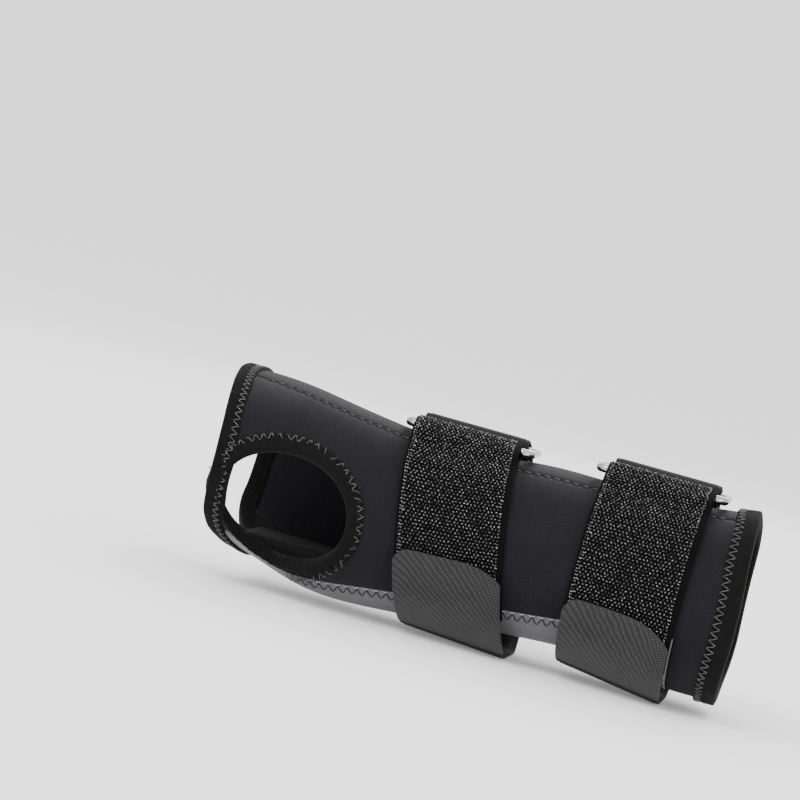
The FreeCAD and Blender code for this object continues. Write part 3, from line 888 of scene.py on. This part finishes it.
def pile_object(name, rows, across, first, last, seed):
    """Rows of tiny stiff loops, staggered and a little uneven, each a bent four-sided thread."""
    random = np.random.default_rng(seed)
    normal = tape_normals(rows)
    length = running_length(rows[:, len(across) // 2])
    lines = np.arange(first, last, PILE_SPACING * 0.86)
    places = []
    for k, s in enumerate(lines):
        w = np.arange(-TAPE_HALF + 2.6, TAPE_HALF - 2.9, PILE_SPACING) + (k % 2) * PILE_SPACING / 2
        w = np.concatenate([[-TAPE_HALF + 1.2, -TAPE_HALF + 1.9], w, [TAPE_HALF - 2.3]])
        places.append(np.stack([np.full_like(w, s), w], -1))
    places = np.concatenate(places)
    places = places + random.uniform(-0.13, 0.13, places.shape) * PILE_SPACING
    i = np.clip(np.searchsorted(length, places[:, 0]) - 1, 0, len(length) - 2)
    j = np.clip(np.searchsorted(across, places[:, 1]) - 1, 0, len(across) - 2)
    a = ((places[:, 0] - length[i]) / (length[i + 1] - length[i]))[:, None]
    b = ((places[:, 1] - across[j]) / (across[j + 1] - across[j]))[:, None]
    base = (rows[i, j] * (1 - a) * (1 - b) + rows[i + 1, j] * a * (1 - b)
            + rows[i, j + 1] * (1 - a) * b + rows[i + 1, j + 1] * a * b)
    up = normal[i, j]
    forward = rows[i + 1, j] - rows[i, j]
    forward /= np.linalg.norm(forward, axis=1, keepdims=True)
    side = np.cross(forward, up)
    spin = random.uniform(0, 2 * np.pi, len(base))[:, None]
    lean = np.cos(spin) * forward + np.sin(spin) * side
    bow = np.linspace(0, np.pi, PILE_STEPS)[:, None]
    height = random.uniform(0.30, 0.60, (len(base), 1, 1))
    rise = TAPE / 2 - 0.1 + height * np.sin(bow)
    centre = base[:, None] + up[:, None] * rise - lean[:, None] * PILE_REACH * np.cos(bow)
    radial = PILE_WIRE * (up[:, None] * np.sin(bow) - lean[:, None] * np.cos(bow))
    sideways = PILE_WIRE * np.cross(up, lean)[:, None]
    corners = np.stack([centre + radial, centre + sideways, centre - radial, centre - sideways], 2)
    size = PILE_STEPS * 4
    start = (np.arange(len(base)) * size)[:, None, None]
    ring = start + np.arange(PILE_STEPS - 1)[:, None] * 4
    corner = np.arange(4)
    following = (corner + 1) % 4
    walls = np.stack([ring + corner, ring + 4 + corner, ring + 4 + following, ring + following], -1)
    ends = start + np.stack([corner, size - 1 - corner])
    faces = np.concatenate([walls.reshape(-1, 4), ends.reshape(-1, 4)])
    return mesh_object(name, corners.reshape(-1, 3), faces)


def pile_plastic():
    """Nylon monofilament loops: glossy; a noise paints some loops pale grey as painted glints and leaves the
    rest near black.
    """
    material, _, add, finish_with = shader("moulded_nylon_loops", roughness=0.28, shine=0.7)
    place = add("ShaderNodeTexCoord").node.outputs["Object"]
    # Painted glints: noise sets each loop between near black and pale grey.
    loop_glint_noise = add("ShaderNodeTexNoise", Vector=place, Scale=900.0, Detail=1.0)
    loop_glint_share = add("ShaderNodeMapRange", Value=loop_glint_noise, _1=0.40, _2=0.72)
    finish_with(blend_colours(add, loop_glint_share, (0.004, 0.004, 0.004), (0.30, 0.30, 0.30)))
    return material


def cross_stitches(name, rows, across, distance):
    """A row of arched stitches straight across a band, distance along it, on the face sewn down."""
    i = int(np.searchsorted(running_length(rows[:, len(across) // 2]), distance))
    normal = tape_normals(rows)[i]
    parts = []
    for start in np.arange(-TAPE_HALF + 1.8, TAPE_HALF - 3.4, 2.6):
        w = start + 1.9 * np.linspace(0, 1, 7)
        base = np.stack([np.interp(w, across, rows[i, :, k]) for k in range(3)], -1)
        up = -np.stack([np.interp(w, across, normal[:, k]) for k in range(3)], -1)
        lift = TAPE / 2 + 0.05 - 0.5 * np.abs(np.linspace(-1, 1, 7))[:, None] ** 5
        parts.append(thread_object(name, base + up * lift, up, 0.16))
    dress(join(name, parts), GLINT_THREAD, "hook_band", "sleeve")


BAND_TAPE = tape_cloth("black_hook_tape", (0.0008, 0.0008, 0.0008), (0.003, 0.003, 0.003), rib=0.8,
                       roughness=0.8, shine=0.05, sheen=0.0)
PILE_NYLON = pile_plastic()
for number, strap in enumerate(STRAPS):
    across = across_places(27)
    rows = smooth_rows(tape_middle(strap, band_steps(), across), 1.0)
    band = tape_object(f"{strap}_band_tape", rows, across, TAPE, -1)
    dress(band, BAND_TAPE, "hook_band", "sleeve", f"{strap}_strap_band")
    length = running_length(rows[:, len(across) // 2])[-1]
    pile = pile_object(f"{strap}_band_loops", rows, across, 12.0, length - 20.5, 11 + number)
    dress(pile, PILE_NYLON, "hook_band", "sleeve")
    for k, distance in enumerate((2.5, 8.5)):
        cross_stitches(f"{strap}_band_end_stitching_{k}", rows, across, distance)


# ---- Tail tapes ---------------------------------------------------------------------------------------
# Plain woven tape sewn to the far side of the sleeve, led up through the ring, over its far bar,
# back down and under the palm, where the tab is sewn to its end.
TAB_FOOT = 241.0


def tail_steps():
    """From the far side up through the ring, over its far bar, back down and under the palm."""
    flat = CLEAR + TAPE / 2
    doubled = flat + TAPE + 0.2
    radius = RING_WIRE / 2 + 0.3 + RING_PLAY + TAPE / 2
    steps = [("skin", a, flat) for a in range(-14, 60, 8)] + [("skin", 65, flat + 0.5)]
    steps += [("bar", 1, a, radius) for a in np.linspace(275, 70, 9)]
    steps += [("loop", 66, doubled + 3.4), ("loop", 60, doubled + 1.5), ("loop", 53, doubled + 0.3)]
    steps += [("loop", a, doubled) for a in range(46, -52, -8)]
    steps += [("loop", -58, 3.2), ("loop", -66, 3.5)]
    steps += [("loop", a, TAB_LAYER) for a in (-74, -82, -90, -98, -106, -113, TAB_FOOT - 360)]
    return steps


TAIL_CLOTH = tape_cloth("black_woven_tape", (0.0035, 0.0035, 0.0035), (0.013, 0.013, 0.0132), rib=0.9,
                        roughness=0.7, strength=0.8)
for strap in STRAPS:
    across = across_places(19)
    rows = smooth_rows(tape_middle(strap, tail_steps(), across), 1.0)
    tail = tape_object(f"{strap}_tail_tape", rows, across, TAPE, 1)
    dress(tail, TAIL_CLOTH, "tail_tape", "sleeve", f"{strap}_strap_tail")


# ---- Tabs ---------------------------------------------------------------------------------------------
# Brushed twill tape with a rounded free end, sewn to the tail, that grips the band with its hook patch.
def tab_end_height(strap, across):
    """Height of the rounded end: from its peak it falls as a power of the distance to each side."""
    facts = STRAPS[strap]
    q = across / TAPE_HALF - facts["peak"]
    left = facts["drops"][0] * np.clip(-q / (1 + facts["peak"]), 0, 1.0) ** facts["powers"][0]
    right = facts["drops"][1] * np.clip(q / (1 - facts["peak"]), 0, 1.0) ** facts["powers"][1]
    return facts["top"] - left - right


def tab_rows(strap, across, layer, foot, inset, count):
    """The tab's middle surface: rows from its foot to its rounded end, on the hanging loop's skin."""
    facts = STRAPS[strap]
    share = np.linspace(0, 1, count)[:, None]
    height = tab_end_height(strap, across) - inset
    low, high, _ = outline(np.full_like(across, facts["centre"]))
    middle = (low + high) / 2
    raised = facts["hang"] * (TAPE_HALF - across) / (2 * TAPE_HALF)
    drop = middle - TAPE / 2 + LOOP_DIP - (TAB_LAYER - layer) - raised
    level = np.clip((middle - height) / drop, 0, 1)
    end = np.pi + np.arcsin(level ** (SQUARENESS / 2))
    angle = math.radians(foot) + (end - math.radians(foot)) * share
    x = np.full(angle.shape, facts["centre"])
    for _ in range(4):
        x = leaning(strap, loop_skin(strap, x, angle, layer, across)[..., 2], across)
    return loop_skin(strap, x, angle, layer, across)


def twill(name, low, high):
    """Brushed twill on the UV map: two sets of diagonal ribs multiplied into specks, with fibres over them.

    It is painted paler towards the foot, its lowest part, as a ramp along the tab: painted light bounced up
    from the floor.
    """
    material, _, add, finish_with = shader(name, roughness=0.75, shine=0.2, sheen=0.05)
    place = add("ShaderNodeUVMap", {"uv_map": "cloth"})
    split = add("ShaderNodeSeparateXYZ", Vector=place).node
    mirrored = add("ShaderNodeMapping", Vector=place, Scale=(1.0, -1.0, 1.0))
    slanting = {"bands_direction": "DIAGONAL"}
    ribs = add("ShaderNodeTexWave", slanting, Vector=place, Scale=0.56, Distortion=1.6, Detail=1.0)
    picks = add("ShaderNodeTexWave", slanting, Vector=mirrored, Scale=0.24, Distortion=2.2, Detail=1.0)
    dots = calc(add, "MULTIPLY", ribs, picks)
    fibres = add("ShaderNodeTexNoise", Vector=place, Scale=2.2, Detail=4.0, Roughness=0.8)
    loose = add("ShaderNodeMapRange", Value=fibres, _1=0.35, _2=0.65, _3=0.25, _4=1.25)
    specks = calc(add, "MULTIPLY", dots, loose)
    height = calc(add, "MULTIPLY_ADD", fibres, 0.6, specks)
    patches = add("ShaderNodeTexNoise", Vector=place, Scale=0.12, Detail=4.0)
    # Painted bounce light: the colour is paler near the tab's foot, its lowest part, and fades out 20 mm up
    # the tab.
    floor_bounce_light = add("ShaderNodeMapRange", Value=split.outputs[0], _1=5.0, _2=20.0, _3=0.02, _4=-0.22)
    mottle = calc(add, "MULTIPLY_ADD", patches, 0.25, floor_bounce_light)
    share = calc(add, "MULTIPLY_ADD", height, 0.85, mottle, clamp=True)
    finish_with(blend_colours(add, share, low, high), height, 0.5, 0.00018)
    return material


TAB_CLOTH = twill("grey_brushed_twill", (0.004, 0.004, 0.004), (0.054, 0.054, 0.056))
PATCH_CLOTH = tape_cloth("black_hook_patch", (0.003, 0.003, 0.003), (0.013, 0.013, 0.013), rib=1.2,
                         roughness=0.6)
TAB_THICK = 1.5
PATCH_THICK = 0.8
PEEL_BEND = 1.6
for strap in STRAPS:
    across = across_places(31)
    rows = tab_rows(strap, across, TAB_LAYER, TAB_FOOT + 4.0, 0.0, 46)
    tab = tape_object(f"{strap}_tab_twill", rows, across, TAB_THICK, 1, selvedge=0.0)
    dress(tab, TAB_CLOTH, "tab_tape", None, f"{strap}_strap_tab")
    along = rows[6, len(across) // 2] - rows[0, len(across) // 2]
    bend = along / np.linalg.norm(along) * PEEL_BEND * MM
    bend[0] = 0.0
    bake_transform(tab)
    patch_across = across * (TAPE_HALF - 1.2) / TAPE_HALF
    layer = TAB_LAYER - TAB_THICK / 2 - 0.5
    patch_rows = tab_rows(strap, patch_across, layer, TAB_FOOT - 12.0, 1.6, 30)
    patch = tape_object(f"{strap}_tab_hook_patch", patch_rows, across, PATCH_THICK, 1, selvedge=0.0)
    dress(patch, PATCH_CLOTH, "hook_patch", f"{strap}_tab", f"{strap}_strap_tab_hooks")


# ---- Rings --------------------------------------------------------------------------------------------
# Chrome-plated 3 mm wire, bent to a rectangle and welded.
def plated_wire():
    """Bright plating with faint handling marks in its roughness."""
    material, bsdf, add, finish_with = shader("chrome_plated_wire")
    bsdf.inputs["Base Color"].default_value = (0.36, 0.36, 0.37, 1)
    bsdf.inputs["Metallic"].default_value = 1.0
    place = add("ShaderNodeTexCoord").node.outputs["Object"]
    marks = add("ShaderNodeTexNoise", Vector=place, Scale=400.0, Detail=4.0)
    finish_with(height=marks, strength=0.05, depth=0.0001,
                roughness=add("ShaderNodeMapRange", Value=marks, _3=0.1, _4=0.3))
    return material


RING_PLATING = plated_wire()
for strap in STRAPS:
    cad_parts[f"{strap}_strap_ring"].material_slots[0].material = RING_PLATING


# ---- Stay, its caps, its pocket and the palm pad ------------------------------------------------------
# A flat aluminium bar with dipped end caps slides in a cloth channel sewn inside the palm panel,
# over a foam wedge that fills the hollow of the palm.
def rolled_metal():
    """Satin rolled aluminium: fine streaks along the bar in its roughness and bump."""
    material, bsdf, add, finish_with = shader("satin_aluminium")
    bsdf.inputs["Base Color"].default_value = (0.42, 0.43, 0.44, 1)
    bsdf.inputs["Metallic"].default_value = 1.0
    place = add("ShaderNodeTexCoord").node.outputs["Object"]
    stretched = add("ShaderNodeMapping", Vector=place, Scale=(30.0, 2500.0, 2500.0))
    streaks = add("ShaderNodeTexNoise", Vector=stretched, Scale=1.0, Detail=3.0)
    finish_with(height=streaks, strength=0.15, depth=0.0001,
                roughness=add("ShaderNodeMapRange", Value=streaks, _3=0.28, _4=0.5))
    return material


def dipped_plastic():
    """Matte black dipped vinyl with a fine pebble."""
    material, _, add, finish_with = shader("dipped_black_vinyl", roughness=0.55)
    place = add("ShaderNodeTexCoord").node.outputs["Object"]
    pebble = add("ShaderNodeTexNoise", Vector=place, Scale=2200.0, Detail=2.0)
    finish_with(blend_colours(add, pebble, (0.014, 0.014, 0.014), (0.03, 0.03, 0.03)), pebble, 0.3, 0.0001)
    return material


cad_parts["stay_blade"].material_slots[0].material = rolled_metal()
CAP_VINYL = dipped_plastic()
for end in ("hand_end", "forearm_end"):
    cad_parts[f"stay_cap_{end}"].material_slots[0].material = CAP_VINYL

pocket_low, pocket_high = cad_corners("stay_pocket")
POCKET_CLOTH = 1.2
POCKET_SLOPE = 3.0


def inner_floor(x, y, gap):
    """Height of the sleeve's inner face under (x, y), on its squared oval, less deep by gap."""
    low, high, width = outline(x)
    rise = (high - low) / 2 - WALL - gap
    return (low + high) / 2 - rise * (1 - np.abs(y / (width - WALL)) ** SQUARENESS) ** (1 / SQUARENESS)


def signed_power(value, power):
    """A power of the value's size with its sign kept."""
    return np.sign(value) * np.abs(value) ** power


def pocket_surface():
    """The channel's middle surface: rows along the arm, columns up one wall, over the roof and down.

    The roof starts low at its sewn hand end and rises to full height as a smooth step.
    """
    x = np.linspace(pocket_low[0] + 1.0, pocket_high[0] - 0.4, 140)[:, None]
    half = (pocket_high[1] - pocket_low[1]) / 2 - POCKET_CLOTH / 2
    roof = pocket_high[2] - POCKET_CLOTH / 2
    turn = np.linspace(0, np.pi, 41)[None, :]
    y = half * signed_power(np.cos(turn), 0.25)
    up = np.abs(np.sin(turn)) ** 0.25
    foot = inner_floor(x, y, 0.0)
    s = np.clip((x - pocket_low[0]) / POCKET_SLOPE, 0, 1)
    rise = 0.12 + 0.88 * s * s * (3 - 2 * s)
    sag = 0.12 * np.sin(x / 11.0)
    z = foot + 0.5 + (roof - foot - 0.5 + sag * up) * up * rise
    return np.stack(np.broadcast_arrays(x, y, z), -1)


pocket = grid_object("stay_pocket_cloth", pocket_surface()[:, ::-1])
pocket_wall = pocket.modifiers.new("cloth", "SOLIDIFY")
pocket_wall.thickness = POCKET_CLOTH * MM
pocket_wall.offset = 0
dress(pocket, LINING, "pocket_cloth", "sleeve", "stay_pocket")

pad_low, pad_high = cad_corners("palm_pad")


def pad_surface():
    """A closed wedge: each section is a squared oval between the sleeve's inner face and the pad's top."""
    s = np.linspace(0, 1, 60)[:, None]
    ends = np.clip(1 - np.abs(2 * s - 1) ** 10, 0.0004, 1) ** 0.5
    x = pad_low[0] + (pad_high[0] - pad_low[0]) * s
    turn = np.linspace(0, 2 * np.pi, 48, endpoint=False)[None, :]
    half = (pad_high[1] - pad_low[1]) / 2
    y = half * ends * signed_power(np.cos(turn), 0.5)
    floor = inner_floor(x, y, 0.6)
    top = np.maximum(pad_high[2], floor + 0.3)
    middle = (floor + top) / 2
    z = middle + (top - floor) / 2 * ends * signed_power(np.sin(turn), 0.5)
    return np.stack(np.broadcast_arrays(x, y, z), -1)


pad = grid_object("palm_pad_foam", pad_surface()[:, ::-1], wrap_columns=True, lids=True)
dress(pad, LINING, "pad_foam", "sleeve", "palm_pad")


# ---- Floor, light and camera --------------------------------------------------------------------------
# A wide white floor under soft light, seen level from the thumb side with the camera rolled.
SKY = 1.7
bpy.ops.mesh.primitive_plane_add(size=60.0)
floor = bpy.context.object
floor.name = "studio_floor"
floor_material, floor_bsdf, _, _ = shader("white_floor", roughness=0.9)
floor_bsdf.inputs["Base Color"].default_value = (0.9, 0.9, 0.9, 1)
floor_bsdf.inputs["Emission Color"].default_value = (1, 1, 1, 1)
floor_bsdf.inputs["Emission Strength"].default_value = 0.1 * SKY
floor.data.materials.append(floor_material)

world = bpy.data.worlds.new("studio")
world.use_nodes = True
world.node_tree.nodes["Background"].inputs["Color"].default_value = (1, 1, 1, 1)
world.node_tree.nodes["Background"].inputs["Strength"].default_value = SKY
bpy.context.scene.world = world

LIGHTS = {
    # place, size and power of each soft box
    "key": ((-0.5, -0.9, 1.1), 0.8, 14.0),
    "fill": ((0.9, -1.0, 0.5), 1.0, 6.0),
    "back": ((0.1, 0.9, 0.9), 0.8, 9.0),
}
centre = (np.array(cad_box[0]) + np.array(cad_box[1])) / 2
for name, (place, size, power) in LIGHTS.items():
    lamp = bpy.data.lights.new(name, "AREA")
    lamp.size = size
    lamp.energy = power
    light = bpy.data.objects.new(name, lamp)
    light.location = place
    aim = np.array(place) - centre
    tilt = math.atan2(math.hypot(aim[0], aim[1]), aim[2])
    light.rotation_euler = (tilt, 0, math.atan2(aim[1], aim[0]) + math.pi / 2)
    bpy.context.scene.collection.objects.link(light)

AZIMUTH = math.radians(11.0)
ELEVATION = math.radians(3.0)
ROLL = math.radians(15.0)
DISTANCE = 1.0
TARGET = np.array([-0.0408, 0.0, 0.076])
VIEW_WIDTH = 0.280
level_out = np.array([math.sin(AZIMUTH), -math.cos(AZIMUTH), 0.0])
out = level_out * math.cos(ELEVATION) + np.array([0.0, 0.0, math.sin(ELEVATION)])
right = np.array([math.cos(AZIMUTH), math.sin(AZIMUTH), 0.0])
up = np.cross(out, right)
rolled_right = right * math.cos(ROLL) + up * math.sin(ROLL)
rolled_up = up * math.cos(ROLL) - right * math.sin(ROLL)
lens = bpy.data.cameras.new("camera")
lens.sensor_width = 36.0
lens.lens = 36.0 * DISTANCE / VIEW_WIDTH
lens.clip_start = 0.05
camera = bpy.data.objects.new("camera", lens)
bpy.context.scene.collection.objects.link(camera)
turned = np.column_stack([rolled_right, rolled_up, out, TARGET + out * DISTANCE])
camera.matrix_world = mathutils.Matrix([*turned.tolist(), [0.0, 0.0, 0.0, 1.0]])
bpy.context.scene.camera = camera

bpy.context.view_layer.update()
